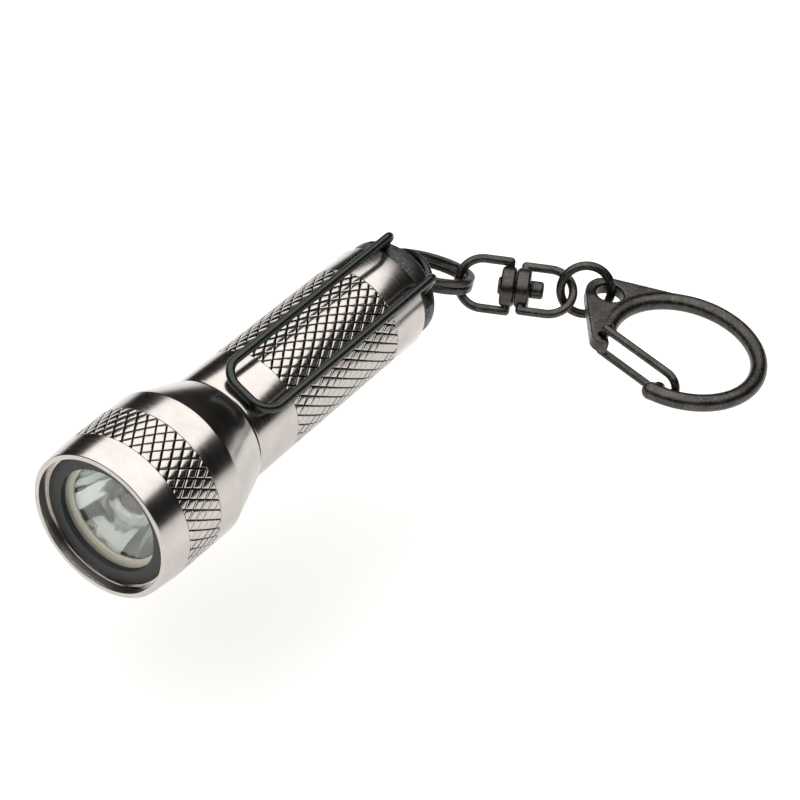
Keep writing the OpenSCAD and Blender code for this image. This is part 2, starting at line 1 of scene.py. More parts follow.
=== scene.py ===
# %% [markdown]
# # A keychain flashlight
#
# The light is a screw-together metal tube with a knurled grip, a wide head, a wire clip and a short
# chain with a hook. The mechanical model already exists, part by part, and this notebook gives each
# part its final surface. Everything is in metres. The light's axis is Y, the lens looks along -Y and
# +Z is up.

# %% Load the mechanical model
import json
import math

import bmesh
import bpy
from mathutils import Euler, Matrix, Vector

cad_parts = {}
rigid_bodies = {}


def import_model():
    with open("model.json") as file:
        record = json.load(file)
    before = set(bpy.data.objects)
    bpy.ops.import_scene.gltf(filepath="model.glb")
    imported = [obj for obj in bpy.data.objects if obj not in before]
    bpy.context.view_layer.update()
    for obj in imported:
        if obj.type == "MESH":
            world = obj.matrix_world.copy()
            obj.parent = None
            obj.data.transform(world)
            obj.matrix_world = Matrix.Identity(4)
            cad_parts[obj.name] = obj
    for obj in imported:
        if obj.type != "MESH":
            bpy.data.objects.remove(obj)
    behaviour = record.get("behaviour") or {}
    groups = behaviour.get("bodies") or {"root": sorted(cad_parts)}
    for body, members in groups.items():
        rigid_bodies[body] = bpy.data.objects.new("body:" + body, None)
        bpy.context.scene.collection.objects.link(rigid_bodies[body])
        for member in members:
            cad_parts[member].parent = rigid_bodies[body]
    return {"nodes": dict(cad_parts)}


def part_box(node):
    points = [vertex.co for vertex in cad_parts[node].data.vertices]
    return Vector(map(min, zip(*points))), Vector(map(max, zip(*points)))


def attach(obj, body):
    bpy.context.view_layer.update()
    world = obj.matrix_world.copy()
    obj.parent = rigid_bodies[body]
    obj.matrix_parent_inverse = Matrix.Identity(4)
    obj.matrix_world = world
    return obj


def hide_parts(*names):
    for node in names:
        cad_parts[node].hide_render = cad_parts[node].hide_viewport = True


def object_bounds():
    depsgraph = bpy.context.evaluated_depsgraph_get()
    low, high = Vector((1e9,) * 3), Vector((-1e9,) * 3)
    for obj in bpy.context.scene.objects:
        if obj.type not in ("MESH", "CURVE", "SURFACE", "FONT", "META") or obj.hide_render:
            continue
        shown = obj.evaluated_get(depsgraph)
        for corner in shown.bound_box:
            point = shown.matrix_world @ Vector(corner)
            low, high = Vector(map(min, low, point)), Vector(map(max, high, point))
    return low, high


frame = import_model()
cad_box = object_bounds()
nodes = frame["nodes"]
MM = 0.001
print("parts loaded:", len(nodes))

# %% [markdown]
# ## The camera
#
# A long lens keeps the tube's taper small, as in a catalogue picture. The camera stands in front of
# the light, to its right and above it, and looks down along the chain.

# %% Camera
CAMERA_AT = Vector((146.97, -158.44, 172.58)) * MM
CAMERA_TILT = 54.07
CAMERA_YAW = 33.69
SENSOR_WIDTH = 36
FOCAL_LENGTH = 108
NEAREST = 0.01
FARTHEST = 20
bpy.ops.object.select_all(action="DESELECT")
bpy.ops.object.camera_add(location=CAMERA_AT,
                          rotation=(math.radians(CAMERA_TILT), 0, math.radians(CAMERA_YAW)))
camera = bpy.context.object
camera.data.sensor_width = SENSOR_WIDTH
camera.data.lens = FOCAL_LENGTH
camera.data.clip_start = NEAREST
camera.data.clip_end = FARTHEST
bpy.context.scene.camera = camera
print("camera at", tuple(round(v, 3) for v in camera.location))

# %% [markdown]
# ## Floor and light
#
# Polished metal shows what is around it. One very wide soft lamp hangs above the table, the table is
# nearly white, and the ring of room between them is dark for reflections only. A round bar then shows
# a broad white stripe with a black stripe on each side of it, and below them the warm grey of the
# table. The world can tell a reflected ray from the others with a Light Path node, so the same room
# still lights the table evenly. The table lies two centimetres below the light, as if the light stood
# on a clear sheet above it: the shadow turns soft and pale, and the chain can swing down at full travel.

# %% Floor
FLOOR_SIZE = 6.0
FLOOR_GAP = 20 * MM


def mesh_object(name):
    """Name the object that an operator has just added, and its mesh."""
    piece = bpy.context.object
    piece.name = name
    piece.data.name = name
    return piece


bpy.ops.object.select_all(action="DESELECT")
bpy.ops.mesh.primitive_plane_add(size=FLOOR_SIZE, location=(0, 0, cad_box[0].z - FLOOR_GAP))
floor = mesh_object("floor")
print("floor height", round(floor.location.z, 4))

# %% Soft lamp above the table
LAMP_HEIGHT = 0.34
LAMP_WIDTH = 0.90
LAMP_POWER = 3.9
LAMP_COLOUR = (1.0, 0.99, 0.975)
LAMP_CENTRE = (-0.02, 0.05, LAMP_HEIGHT)
bpy.ops.object.light_add(type="AREA", location=LAMP_CENTRE)
soft_lamp = bpy.context.object
soft_lamp.data.shape = "DISK"
soft_lamp.data.size = LAMP_WIDTH
soft_lamp.data.energy = LAMP_POWER
soft_lamp.data.color = LAMP_COLOUR
print("lamp power", LAMP_POWER, "W")

# %% The room
ROOM_PALE = (0.80, 0.80, 0.80)
ROOM_DARK = (0.006, 0.006, 0.006)
world = bpy.data.worlds.new("studio")
world.use_nodes = True
bpy.context.scene.world = world
room = world.node_tree
ray = room.nodes.new("ShaderNodeLightPath")
room_mix = room.nodes.new("ShaderNodeMix")
room_mix.data_type = "RGBA"
room_mix.inputs["A"].default_value = (*ROOM_PALE, 1)
room_mix.inputs["B"].default_value = (*ROOM_DARK, 1)
room.links.new(ray.outputs["Is Glossy Ray"], room_mix.inputs["Factor"])
room.links.new(room_mix.outputs["Result"], room.nodes["Background"].inputs["Color"])
bpy.context.scene.view_settings.view_transform = "Standard"
print("room ready")

# %% [markdown]
# ## Finishes
#
# Every finish starts from one Principled shader, and small patterns on Object coordinates add what
# the maker's tools leave: fine rings from a lathe, the grain of a cast surface, cloudy blacking. The
# finest patterns are a fraction of a millimetre in size, so they show as a change in gloss and not as
# spots. A pattern's stretch says how many grains fit in a metre.

# %% Tools for finishes


def new_finish(name, colour, metallic, roughness):
    """A material with one Principled shader; returns the material and its shader."""
    material = bpy.data.materials.new(name)
    material.use_nodes = True
    shader = material.node_tree.nodes["Principled BSDF"]
    shader.inputs["Base Color"].default_value = (*colour, 1)
    shader.inputs["Metallic"].default_value = metallic
    shader.inputs["Roughness"].default_value = roughness
    return material, shader


def grain(material, stretch, detail=3.0):
    """Noise on Object coordinates; stretch gives how many grains fit in a metre along X, Y and Z."""
    tree = material.node_tree
    place = tree.nodes.new("ShaderNodeTexCoord")
    mapping = tree.nodes.new("ShaderNodeMapping")
    mapping.inputs["Scale"].default_value = stretch
    noise = tree.nodes.new("ShaderNodeTexNoise")
    noise.inputs["Scale"].default_value = 1.0
    noise.inputs["Detail"].default_value = detail
    tree.links.new(place.outputs["Object"], mapping.inputs["Vector"])
    tree.links.new(mapping.outputs["Vector"], noise.inputs["Vector"])
    return noise.outputs["Fac"]


def spread(material, source, low, high, lowest=0.3, highest=0.7):
    """Turn a pattern's values into numbers between low and high."""
    node = material.node_tree.nodes.new("ShaderNodeMapRange")
    node.inputs["From Min"].default_value = lowest
    node.inputs["From Max"].default_value = highest
    node.inputs["To Min"].default_value = low
    node.inputs["To Max"].default_value = high
    material.node_tree.links.new(source, node.inputs["Value"])
    return node.outputs["Result"]


def tint(material, factor, first, second):
    """Mix two colours by a pattern."""
    node = material.node_tree.nodes.new("ShaderNodeMix")
    node.data_type = "RGBA"
    for socket, colour in (("A", first), ("B", second)):
        if isinstance(colour, tuple):
            node.inputs[socket].default_value = (*colour, 1)
        else:
            material.node_tree.links.new(colour, node.inputs[socket])
    material.node_tree.links.new(factor, node.inputs["Factor"])
    return node.outputs["Result"]


def relief(material, shader, height, depth, strength=1.0):
    """Make a pattern stand out from the surface by depth metres."""
    node = material.node_tree.nodes.new("ShaderNodeBump")
    node.inputs["Distance"].default_value = depth
    node.inputs["Strength"].default_value = strength
    material.node_tree.links.new(height, node.inputs["Height"])
    material.node_tree.links.new(node.outputs["Normal"], shader.inputs["Normal"])


def feed(material, output, shader, socket):
    """Link one output to one of the shader's inputs."""
    material.node_tree.links.new(output, shader.inputs[socket])


# %% [markdown]
# ### Turned metal
#
# The tube and head are turned on a lathe and polished. Noise that is drawn out round the axis gives
# the fine rings that a lathe tool leaves. The knurl's grooves are darkened with painted shade, and a
# named attribute on the mesh tells the shader how deep each point lies.

# %% Turned metal
METAL = (0.54, 0.508, 0.482)
METAL_CLOUD = (0.485, 0.455, 0.43)
# painted shade: the colour that the knurl's grooves are darkened to
GROOVE_SHADE = (0.075, 0.065, 0.058)
turned_metal, shader = new_finish("turned_metal", METAL, 1.0, 0.2)
rings = grain(turned_metal, (25, 5200, 25), detail=2.0)
cloud = grain(turned_metal, (500, 500, 500), detail=4.0)
depth_mark = turned_metal.node_tree.nodes.new("ShaderNodeAttribute")
depth_mark.attribute_name = "groove"
cloudy_metal = tint(turned_metal, spread(turned_metal, cloud, 0.0, 1.0), METAL, METAL_CLOUD)
# painted shade: the deeper a point of the knurl lies, the darker its colour
groove_shaded = tint(turned_metal, depth_mark.outputs["Fac"], cloudy_metal, GROOVE_SHADE)
feed(turned_metal, groove_shaded, shader, "Base Color")
feed(turned_metal, spread(turned_metal, rings, 0.15, 0.23), shader, "Roughness")
relief(turned_metal, shader, rings, 0.004 * MM, 0.5)

# %% [markdown]
# ### Dark plated metal
#
# The chain is cast or bent from cheap metal and plated in a dark nickel. It is a mirror of low
# brightness, so a dark colour and a metallic value of one are enough. The cast hook has a dimpled
# skin. The high points of the skin are rubbed a little browner and brighter, so one noise gives both
# the dimples and the rubbed spots.

# %% Dark plated metal
DARK_NICKEL = (0.082, 0.077, 0.071)
DULL_NICKEL = (0.042, 0.04, 0.038)
WORN_NICKEL = (0.40, 0.36, 0.32)


def dark_plating(name, dimple, rubbed):
    """Dark nickel with a dimpled skin; rubbed is how far its high points brighten."""
    material, shader = new_finish(name, DARK_NICKEL, 1.0, 0.4)
    skin = grain(material, (2600, 2600, 2600), detail=4.0)
    patches = grain(material, (420, 420, 420), detail=3.0)
    high_points = spread(material, skin, 0.0, rubbed, 0.5, 0.7)
    base = tint(material, spread(material, patches, 0.0, 1.0), DARK_NICKEL, DULL_NICKEL)
    feed(material, tint(material, high_points, base, WORN_NICKEL), shader, "Base Color")
    feed(material, spread(material, skin, 0.26, 0.42), shader, "Roughness")
    relief(material, shader, skin, dimple, 0.6)
    return material


cast_nickel = dark_plating("cast_nickel", 0.03 * MM, 0.17)
wire_nickel = dark_plating("wire_nickel", 0.006 * MM, 0.12)

# %% Blackened wire, black cap and the black ring
BLACK_WIRE = (0.045, 0.05, 0.047)
black_wire, shader = new_finish("black_wire", BLACK_WIRE, 1.0, 0.34)
skin = grain(black_wire, (3000, 3000, 3000))
feed(black_wire, spread(black_wire, skin, 0.22, 0.34), shader, "Roughness")
relief(black_wire, shader, skin, 0.003 * MM, 0.5)

CAP_DARK = (0.03, 0.032, 0.031)
CAP_PALE = (0.085, 0.088, 0.085)
black_cap, shader = new_finish("black_cap", CAP_PALE, 1.0, 0.4)
mottle = grain(black_cap, (2600, 2600, 2600), detail=5.0)
blacking = tint(black_cap, spread(black_cap, mottle, 0.0, 1.0), CAP_DARK, CAP_PALE)
feed(black_cap, blacking, shader, "Base Color")
feed(black_cap, spread(black_cap, mottle, 0.5, 0.3), shader, "Roughness")
relief(black_cap, shader, mottle, 0.01 * MM, 0.5)

black_ring, shader = new_finish("black_ring", (0.018, 0.02, 0.02), 0.0, 0.55)
skin = grain(black_ring, (2500, 2500, 2500))
feed(black_ring, spread(black_ring, skin, 0.48, 0.62), shader, "Roughness")
print("dark finishes ready")

# %% [markdown]
# ### Clear and bright pieces
#
# The lens and the lamp are clear, so they are glass shaders with a refractive index close to one and a
# half. The lens is also mostly see-through, because a renderer finds few ways for light through clear
# glass, and the bowl behind it would come out too dark. The reflector is bright metal evaporated on
# plastic, smooth but a little wavy, which breaks its highlights into streaks.

# %% Clear and bright finishes
clear_lens, shader = new_finish("clear_lens", (0.97, 0.985, 0.975), 0.0, 0.0)
shader.inputs["Transmission Weight"].default_value = 1.0
shader.inputs["IOR"].default_value = 1.47
shader.inputs["Alpha"].default_value = 0.16
haze = grain(clear_lens, (300, 300, 300))
feed(clear_lens, spread(clear_lens, haze, 0.0, 0.02), shader, "Roughness")

clear_lamp, shader = new_finish("clear_lamp", (0.93, 0.95, 0.93), 0.0, 0.03)
shader.inputs["Transmission Weight"].default_value = 1.0
shader.inputs["IOR"].default_value = 1.5
haze = grain(clear_lamp, (400, 400, 400))
feed(clear_lamp, spread(clear_lamp, haze, 0.02, 0.06), shader, "Roughness")

bright_bowl, shader = new_finish("bright_bowl", (0.66, 0.69, 0.665), 1.0, 0.05)
waves = grain(bright_bowl, (260, 60, 260), detail=2.0)
relief(bright_bowl, shader, waves, 0.45 * MM, 0.8)
feed(bright_bowl, spread(bright_bowl, waves, 0.02, 0.07), shader, "Roughness")

cream_seal, shader = new_finish("cream_seal", (0.90, 0.86, 0.72), 0.0, 0.45)
cream = tint(cream_seal, grain(cream_seal, (900, 900, 900)), (0.92, 0.88, 0.74), (0.86, 0.82, 0.67))
feed(cream_seal, cream, shader, "Base Color")
shader.inputs["Subsurface Weight"].default_value = 0.1
shader.inputs["Subsurface Scale"].default_value = 0.5 * MM
print("clear finishes ready")

# %% [markdown]
# ### Inside finishes
#
# The pieces that only show when the light is taken apart are the cells, their sleeve, the spring, the
# contacts, the lamp holder and the rubber rings. Each has a plain finish with its own grain.

# %% Inside finishes


def simple_finish(name, colour, second, metallic, gloss, stretch):
    """A finish that drifts between two colours and two values of gloss."""
    material, shader = new_finish(name, colour, metallic, gloss[0])
    pattern = grain(material, stretch)
    drift = tint(material, spread(material, pattern, 0.0, 1.0), colour, second)
    feed(material, drift, shader, "Base Color")
    feed(material, spread(material, pattern, *gloss), shader, "Roughness")
    return material


inside = {
    "rubber": simple_finish("rubber", (0.02, 0.02, 0.02), (0.035, 0.035, 0.035), 0.0,
                            (0.5, 0.65), (1500, 1500, 1500)),
    "cell": simple_finish("cell_steel", (0.66, 0.66, 0.65), (0.6, 0.6, 0.6), 1.0,
                          (0.18, 0.3), (800, 80, 800)),
    "sleeve": simple_finish("sleeve_film", (0.85, 0.85, 0.82), (0.8, 0.8, 0.77), 0.0,
                            (0.3, 0.4), (200, 200, 200)),
    "spring": simple_finish("spring_wire", (0.6, 0.59, 0.57), (0.52, 0.51, 0.5), 1.0,
                            (0.22, 0.34), (2000, 2000, 2000)),
    "brass": simple_finish("contact_brass", (0.78, 0.6, 0.3), (0.7, 0.52, 0.25), 1.0,
                           (0.2, 0.34), (900, 900, 900)),
    "holder": simple_finish("holder_resin", (0.03, 0.03, 0.032), (0.05, 0.05, 0.05), 0.0,
                            (0.4, 0.5), (1200, 1200, 1200)),
}
print("inside finishes:", sorted(inside))

# %% [markdown]
# ### Floor
#
# The floor is matt and almost one tone, so that nothing in it shows as a pattern in the metal.

# %% Floor finish
table_top, shader = new_finish("table_top", (0.68, 0.675, 0.67), 0.0, 0.9)
paper = grain(table_top, (40, 40, 40))
feed(table_top, tint(table_top, paper, (0.685, 0.68, 0.675), (0.675, 0.67, 0.665)), shader, "Base Color")
floor.data.materials.append(table_top)
print("floor wears", table_top.name)

# %% [markdown]
# ## Tools for turned pieces
#
# A lathe shapes a piece by moving a tool along a profile. The same is done here: a ring of points
# round the axis is extruded from one station to the next, each with its own radius. Sharp corners in
# a profile catch no light, so every corner gets a small easing, a short curve between its two sides.

# %% Tools for turned pieces
SIDES = 160


def rest():
    """Leave edit mode and deselect everything."""
    if bpy.context.mode != "OBJECT":
        bpy.ops.object.mode_set(mode="OBJECT")
    bpy.ops.object.select_all(action="DESELECT")


def pick(piece):
    """Leave edit mode and select one piece alone, as the active one."""
    rest()
    piece.select_set(True)
    bpy.context.view_layer.objects.active = piece


def eased(points, steps=3):
    """Round the corners of an outline of (y, radius, easing) points, in millimetres."""
    outline = []
    for index, (y, radius, easing) in enumerate(points):
        corner = Vector((y, radius))
        if easing == 0 or index in (0, len(points) - 1):
            outline.append((y, radius))
            continue
        before = (Vector(points[index - 1][:2]) - corner).normalized() * easing
        after = (Vector(points[index + 1][:2]) - corner).normalized() * easing
        for step in range(steps + 1):
            t = step / steps
            outline.append(tuple(corner + before * (1 - t) ** 2 + after * t ** 2))
    return outline


def place_ring(y, radius):
    """Move the selected ring to a station on the axis and give it a radius, in millimetres."""
    mesh = bmesh.from_edit_mesh(bpy.context.object.data)
    for vert in mesh.verts:
        if vert.select:
            scale = radius * MM / math.hypot(vert.co.x, vert.co.z)
            vert.co = (vert.co.x * scale, y * MM, vert.co.z * scale)
    bmesh.update_edit_mesh(bpy.context.object.data)


def run_ring(outline):
    """Extrude the selected ring of edges through each station of an outline."""
    for y, radius in outline:
        bpy.ops.mesh.extrude_edges_move()
        place_ring(y, radius)


def select_open_ring(y):
    """Select the open edges that lie in the plane at y millimetres."""
    bpy.ops.mesh.select_mode(type="EDGE")
    bpy.ops.mesh.select_all(action="DESELECT")
    mesh = bmesh.from_edit_mesh(bpy.context.object.data)
    for edge in mesh.edges:
        if edge.is_boundary and all(abs(v.co.y / MM - y) < 0.003 for v in edge.verts):
            edge.select = True
    bmesh.update_edit_mesh(bpy.context.object.data)


def join_open_rings():
    """Close a shell whose last two open rings face each other."""
    bpy.ops.mesh.select_all(action="DESELECT")
    bpy.ops.mesh.select_non_manifold()
    bpy.ops.mesh.bridge_edge_loops()


def end_piece(piece, angle=32.0):
    """Turn the faces outwards, leave edit mode and smooth the shallow edges."""
    bpy.ops.mesh.select_all(action="SELECT")
    bpy.ops.mesh.normals_make_consistent(inside=False)
    pick(piece)
    bpy.ops.object.shade_smooth_by_angle(angle=math.radians(angle))
    print(piece.name, "faces:", len(piece.data.polygons))


def turned_piece(name, outline, solid=False):
    """Turn an outline of (y, radius) points into a piece: a ring, or a solid with closed ends."""
    rest()
    y, radius = outline[0]
    bpy.ops.mesh.primitive_circle_add(vertices=SIDES, radius=radius * MM, location=(0, y * MM, 0),
                                      rotation=(math.pi / 2, 0, 0))
    piece = mesh_object(name)
    bpy.ops.object.transform_apply(location=True, rotation=True, scale=True)
    bpy.ops.object.mode_set(mode="EDIT")
    bpy.ops.mesh.select_mode(type="EDGE")
    bpy.ops.mesh.select_all(action="SELECT")
    run_ring(outline[1:])
    if solid:
        for station in (outline[0], outline[-1]):
            select_open_ring(station[0])
            bpy.ops.mesh.edge_face_add()
    else:
        join_open_rings()
    end_piece(piece)
    return piece


def wear(piece, finish, body, slot, *stands_for):
    """Give a piece its finish and the body it rides on, and hide the nodes it stands for; slot is not
    used.
    """
    piece.data.materials.clear()
    piece.data.materials.append(finish)
    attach(piece, body)
    if stands_for:
        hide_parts(*stands_for)


# %% [markdown]
# ## The knurl
#
# A knurl is a pattern of diamonds that two wheels press into a turning bar. A picture of diamonds
# would look flat at the outline, so the knurl is real: one diamond is drawn flat, its sides are inset
# and raised, and a second inset rounds its top. The diamond is repeated in two directions, the sheet
# is cut straight at both ends, and the sheet is rolled round the axis. The rolled sheet's open edge
# then goes on as the ring that the rest of the piece is turned from, so the whole piece is one shell.

# %% Knurl tools
GROOVE_DEPTH = 0.20
DIAMOND_STEPS = ((0.125, GROOVE_DEPTH), (0.10, 0.028), (0.18, 0.012))
# depth in millimetres over which the grooves' painted shade grows to full
SHADE_DEPTH = 0.12
FIRST_ROW = 0.87
KNURL_SINK = 0.01
KNURL_HEIGHT = sum(rise for inset, rise in DIAMOND_STEPS)
RUN_OUT = 0.09
RUN_OUT_DEPTH = 0.12


def knurl_sheet(name, pitch_around, pitch_along, around, length):
    """A flat sheet of diamonds: X runs round the bar, Y along it and Z outwards, in metres."""
    rest()
    bpy.ops.mesh.primitive_circle_add(vertices=4, radius=1.0, fill_type="NGON")
    sheet = mesh_object(name)
    sheet.scale = (pitch_around * MM / 2, pitch_along * MM / 2, 1.0)
    bpy.ops.object.transform_apply(location=True, rotation=True, scale=True)
    bpy.ops.object.mode_set(mode="EDIT")
    bpy.ops.mesh.select_all(action="SELECT")
    for inset, rise in DIAMOND_STEPS:
        bpy.ops.mesh.inset(thickness=inset * MM, depth=rise * MM)
    bpy.ops.mesh.select_all(action="SELECT")
    bpy.ops.mesh.subdivide(number_cuts=1)
    half_step = (pitch_around * MM / 2, pitch_along * MM / 2, 0)
    bpy.ops.mesh.duplicate_move(TRANSFORM_OT_translate={"value": half_step})
    bpy.ops.object.mode_set(mode="OBJECT")
    rows = math.ceil(length / pitch_along) + 2
    for count, step in ((around, (pitch_around * MM, 0, 0)), (rows, (0, pitch_along * MM, 0))):
        array = sheet.modifiers.new("repeat", "ARRAY")
        array.count = count
        array.use_relative_offset = False
        array.use_constant_offset = True
        array.constant_offset_displace = step
        bpy.ops.object.modifier_apply(modifier=array.name)
    return sheet


def knurled_band(name, radius, y_start, y_end, around, pitch_along):
    """A rolled knurl between two stations; it stays in edit mode with both ends open."""
    pitch_around = 2 * math.pi * radius / around
    length = y_end - y_start
    sheet = knurl_sheet(name, pitch_around, pitch_along, around, length)
    bpy.ops.object.mode_set(mode="EDIT")
    bpy.ops.mesh.select_all(action="SELECT")
    first_row = -FIRST_ROW * pitch_along * MM
    bpy.ops.transform.translate(value=(0, first_row, 0))
    bpy.ops.mesh.remove_doubles(threshold=0.004 * MM)
    for y, normal in ((0, (0, -1, 0)), (length * MM, (0, 1, 0))):
        bpy.ops.mesh.select_all(action="SELECT")
        bpy.ops.mesh.bisect(plane_co=(0, y, 0), plane_no=normal, clear_outer=True,
                            threshold=0.0005 * MM)
    mesh = bmesh.from_edit_mesh(sheet.data)
    floor_radius = (radius - KNURL_SINK - KNURL_HEIGHT) * MM
    for vert in mesh.verts:
        turn = vert.co.x / (radius * MM)
        out = floor_radius + vert.co.z
        vert.co = (out * math.sin(turn), vert.co.y + y_start * MM, out * math.cos(turn))
    bmesh.update_edit_mesh(sheet.data)
    bpy.ops.mesh.select_all(action="SELECT")
    bpy.ops.mesh.remove_doubles(threshold=0.004 * MM)
    return sheet


def mark_grooves(piece, radius, y_start, y_end):
    """Store how much painted shade each point of the knurl gets, from 0 on the tops to 1 deep in the
    grooves.
    """
    marks = piece.data.attributes.new("groove", "FLOAT", "POINT")
    top = radius - KNURL_SINK - KNURL_HEIGHT + GROOVE_DEPTH
    for vert, mark in zip(piece.data.vertices, marks.data):
        y = vert.co.y / MM
        depth = top - math.hypot(vert.co.x, vert.co.z) / MM
        if y_start - 0.001 < y < y_end + 0.001 and depth < 2 * GROOVE_DEPTH:
            mark.value = max(0.0, min(1.0, depth / SHADE_DEPTH))


def run_out(y, radius, way):
    """The shallow turned groove that ends a knurl in a clean line, as (y, radius) points."""
    floor_r = radius - RUN_OUT_DEPTH
    return [(y, floor_r), (y + way * RUN_OUT * 0.5, floor_r), (y + way * RUN_OUT, radius)]


def knurled_piece(name, radius, y_start, y_end, around, pitch_along, front, rear):
    """A knurled band that goes on as a front outline and a rear outline which meet inside."""
    piece = knurled_band(name, radius, y_start, y_end, around, pitch_along)
    for y, outline in ((y_start, front), (y_end, rear)):
        select_open_ring(y)
        run_ring(outline)
    join_open_rings()
    end_piece(piece, 28.0)
    mark_grooves(piece, radius, y_start, y_end)
    return piece


# %% [markdown]
# ## The head
#
# The head is the widest piece. From the front it has a square lip, a short taper, the knurled band, a
# plain band and a long cone down to the barrel. Inside are the seat for the lens and the hole that
# the barrel's neck screws into. The outside radius is read from the mechanical model.

# %% The head's outline and shell
head_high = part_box("head_shell")[1]
HEAD_R = head_high.x / MM
HEAD_END = head_high.y / MM
RIM_R = HEAD_R - 0.39
RECESS_R = 8.95
RECESS_DEPTH = 1.4
LENS_R = 8.6
CAVITY_R = 8.0
THREAD_R = 7.0
HEAD_DIAMONDS = 45
HEAD_PITCH = 2.25
KNURL_FRONT = 4.08
KNURL_REAR = 9.87
CONE_FRONT = 13.89
CONE_R = 7.78
SEAT_Y = 4.2
CAVITY_END = 12.5
THREAD_START = 13.0
SKIRT_R = 7.15
SKIRT_DEPTH = 1.87

head_front = run_out(KNURL_FRONT, HEAD_R, -1) + eased([
    (KNURL_FRONT - RUN_OUT, HEAD_R - 0.01, 0), (0.0, RIM_R, 0.22), (0.0, RECESS_R, 0.12),
    (RECESS_DEPTH, RECESS_R, 0.05), (RECESS_DEPTH, LENS_R, 0.04), (SEAT_Y, LENS_R, 0.05),
    (SEAT_Y, CAVITY_R, 0.05), (CAVITY_END, CAVITY_R, 0.1), (CAVITY_END, THREAD_R, 0.1),
    (THREAD_START, THREAD_R, 0)])[1:]
head_rear = run_out(KNURL_REAR, HEAD_R, 1) + eased([
    (KNURL_REAR + RUN_OUT, HEAD_R, 0), (CONE_FRONT, HEAD_R, 0.12), (HEAD_END, CONE_R, 0.12),
    (HEAD_END, SKIRT_R, 0.05), (HEAD_END - SKIRT_DEPTH, SKIRT_R, 0.05),
    (HEAD_END - SKIRT_DEPTH, THREAD_R, 0)])[1:]
head = knurled_piece("head_shell_knurled", HEAD_R, KNURL_FRONT, KNURL_REAR, HEAD_DIAMONDS, HEAD_PITCH,
                     head_front, head_rear)
wear(head, turned_metal, "head", "body_metal", "head_shell")

# %% [markdown]
# ## The barrel
#
# The barrel is one tube: a thin neck that screws into the head, a shoulder, a plain band, the long
# knurled grip and another plain band up to the tail cap. Its bore holds the four cells.

# %% The barrel's outline and shell
barrel_low, barrel_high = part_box("barrel_tube")
BARREL_R = barrel_high.x / MM
BARREL_END = barrel_high.y / MM
NECK_FRONT = barrel_low.y / MM
SHOULDER = HEAD_END + 0.63
BORE_R = 6.1
NECK_R = 6.95
GRIP_FRONT = 28.85
GRIP_REAR = 50.42
GRIP_DIAMONDS = 33
GRIP_PITCH = 2.3
BORE_LEAD = 2
GROOVE_FRONT = HEAD_END - 1.37
GROOVE_REAR = HEAD_END - 0.57
GROOVE_R = NECK_R - 0.45

barrel_front = run_out(GRIP_FRONT, BARREL_R, -1) + eased([
    (GRIP_FRONT - RUN_OUT, BARREL_R, 0), (SHOULDER, BARREL_R, 0.3), (SHOULDER, NECK_R, 0.05),
    (GROOVE_REAR, NECK_R, 0.04), (GROOVE_REAR, GROOVE_R, 0.04), (GROOVE_FRONT, GROOVE_R, 0.04),
    (GROOVE_FRONT, NECK_R, 0.04), (NECK_FRONT, NECK_R, 0.1), (NECK_FRONT, BORE_R, 0.1),
    (NECK_FRONT + BORE_LEAD, BORE_R, 0)])[1:]
barrel_rear = run_out(GRIP_REAR, BARREL_R, 1) + eased([
    (GRIP_REAR + RUN_OUT, BARREL_R, 0), (BARREL_END, BARREL_R, 0.2), (BARREL_END, BORE_R, 0.15),
    (BARREL_END - BORE_LEAD, BORE_R, 0)])[1:]
barrel = knurled_piece("barrel_tube_knurled", BARREL_R, GRIP_FRONT, GRIP_REAR, GRIP_DIAMONDS, GRIP_PITCH,
                       barrel_front, barrel_rear)
wear(barrel, turned_metal, "barrel", "body_metal", "barrel_tube")

# %% [markdown]
# ## Behind the lip: ring, lens, seal, reflector and lamp
#
# A black ring holds the lens against a cream seal. Behind it the reflector is a deep bowl with the
# lamp in its middle. Each is turned from its own outline, which leaves every edge slightly soft.

# %% Ring, lens and seal
RING_IN = 6.83
SEAL_IN = 6.35
ring = turned_piece("lens_retainer_ring", eased([
    (2.19, RING_IN, 0), (1.40, RING_IN, 0.10), (1.40, 8.58, 0.12), (2.19, 8.58, 0.04), (2.19, 7.7, 0)]))
wear(ring, black_ring, "head", "retainer_black", "lens_retainer")
glass = turned_piece("lens_disc", eased([
    (2.21, 4.0, 0), (2.21, 8.49, 0.12), (2.99, 8.49, 0.12), (2.99, 4.0, 0)]), solid=True)
wear(glass, clear_lens, "head", "lens_clear", "lens")
seal = turned_piece("lens_seal_ring", eased([
    (3.39, 7.4, 0), (3.39, SEAL_IN, 0.10), (3.01, SEAL_IN, 0.10), (3.01, 8.49, 0.08), (3.39, 8.49, 0.08),
    (3.39, 8.0, 0)]))
wear(seal, cream_seal, "head", "seal_cream", "lens_seal")

# %% [markdown]
# The bowl follows the curve that sends light out straight, a parabola, from its mouth down to the
# hole for the lamp. Its stations are worked out by a loop.

# %% Reflector
reflector_low, reflector_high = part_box("reflector")
FLANGE_FRONT = reflector_low.y / MM
FLANGE_REAR = FLANGE_FRONT + 0.8
BOWL_END = FLANGE_FRONT + 8.4
BOSS_END = reflector_high.y / MM
MOUTH_R = 6.35
LAMP_HOLE_R = 2.56
BOSS_R = 4.2
WALL = 0.7


def bowl_radius(y):
    """The bowl's inner radius at a station: a parabola between the lamp's hole and the mouth."""
    part = (BOWL_END - y) / (BOWL_END - FLANGE_FRONT)
    return math.sqrt(LAMP_HOLE_R ** 2 + part * (MOUTH_R ** 2 - LAMP_HOLE_R ** 2))


